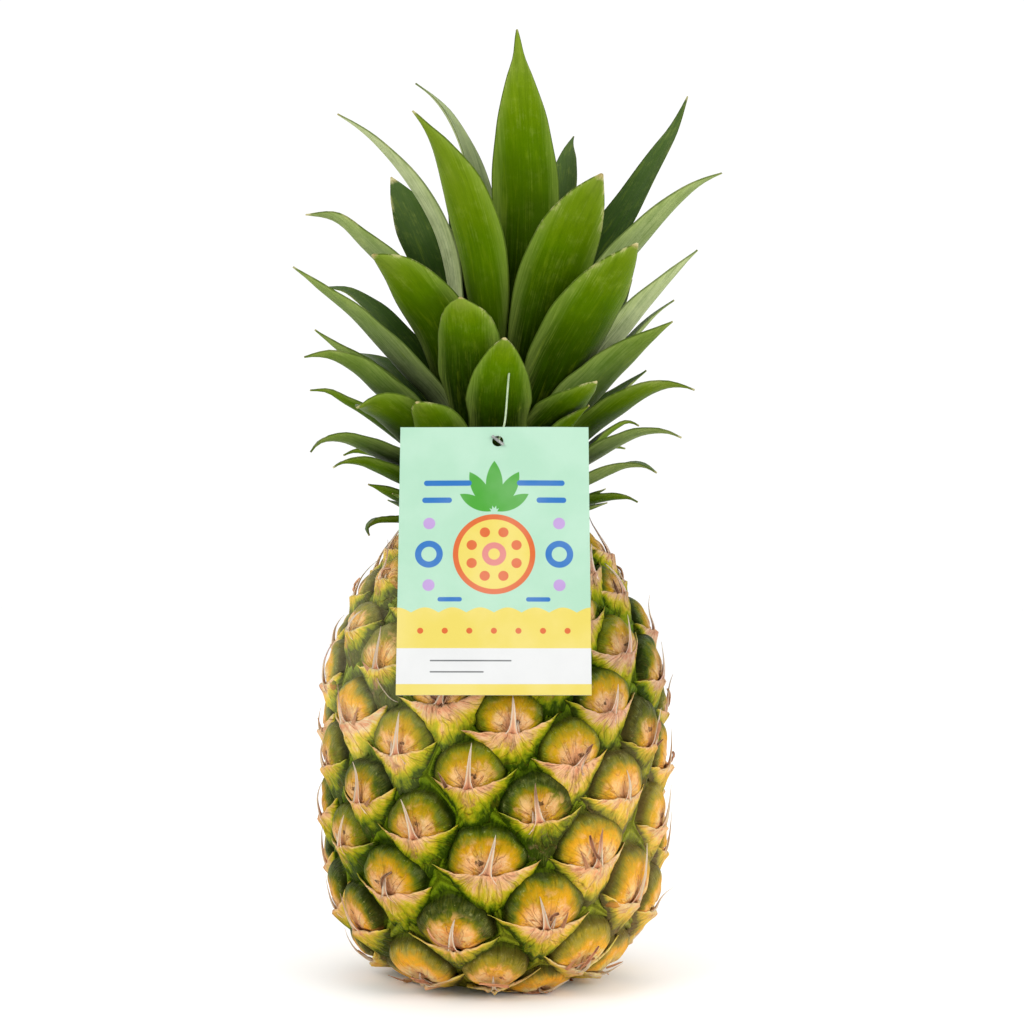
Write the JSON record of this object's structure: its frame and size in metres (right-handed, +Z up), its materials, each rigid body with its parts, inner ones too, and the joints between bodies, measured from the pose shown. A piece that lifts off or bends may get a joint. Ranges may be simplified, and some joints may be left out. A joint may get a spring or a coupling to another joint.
{
  "type": "pineapple",
  "caption": "Whole ripe pineapple standing on its cut base, with a leafy crown and a plain hang tag on a short plastic loop.",
  "frame": {"origin": "centre of the flat cut base that the fruit stands on", "axes": "+Z up the fruit to the tip of its crown; -Y is the side that the hang tag is on; +X to the right as seen from the tag side"},
  "size_m": [0.1509, 0.1327, 0.3405],
  "materials": {
    "fruit_skin": "waxy, ochre to green scales with dry tan bracts",
    "cut_stalk": "dry cut fibre",
    "crown_heart": "matt pale green",
    "leaf": "satin green with a grey bloom at the sides",
    "tag_card": "satin coated card, blank of words",
    "loop_plastic": "translucent moulded plastic"
  },
  "bodies": {
    "root": {"fruit": "fruit_skin", "stem_scar": "cut_stalk", "crown_axis": "crown_heart", "leaf_01": "leaf", "leaf_02": "leaf", "leaf_03": "leaf", "leaf_04": "leaf", "leaf_05": "leaf", "leaf_06": "leaf", "leaf_07": "leaf", "leaf_08": "leaf", "leaf_09": "leaf", "leaf_10": "leaf", "leaf_11": "leaf", "leaf_12": "leaf", "leaf_13": "leaf", "leaf_14": "leaf", "leaf_15": "leaf", "leaf_16": "leaf", "leaf_17": "leaf", "leaf_18": "leaf", "leaf_19": "leaf", "leaf_20": "leaf", "leaf_21": "leaf", "leaf_22": "leaf", "leaf_23": "leaf", "leaf_24": "leaf", "leaf_25": "leaf", "leaf_26": "leaf", "leaf_27": "leaf", "leaf_28": "leaf", "leaf_29": "leaf", "leaf_30": "leaf", "leaf_31": "leaf", "leaf_32": "leaf", "leaf_33": "leaf", "leaf_34": "leaf", "leaf_35": "leaf", "leaf_36": "leaf", "leaf_37": "leaf", "leaf_38": "leaf", "leaf_39": "leaf", "leaf_40": "leaf", "leaf_41": "leaf", "leaf_42": "leaf", "leaf_43": "leaf", "leaf_44": "leaf", "leaf_45": "leaf", "leaf_46": "leaf", "leaf_47": "leaf", "leaf_48": "leaf", "leaf_49": "leaf", "leaf_50": "leaf", "leaf_51": "leaf", "leaf_52": "leaf", "tag": "tag_card", "tag_loop": "loop_plastic", "tag_bar_leaf": "loop_plastic", "tag_bar_card": "loop_plastic"}
  },
  "joints": []
}
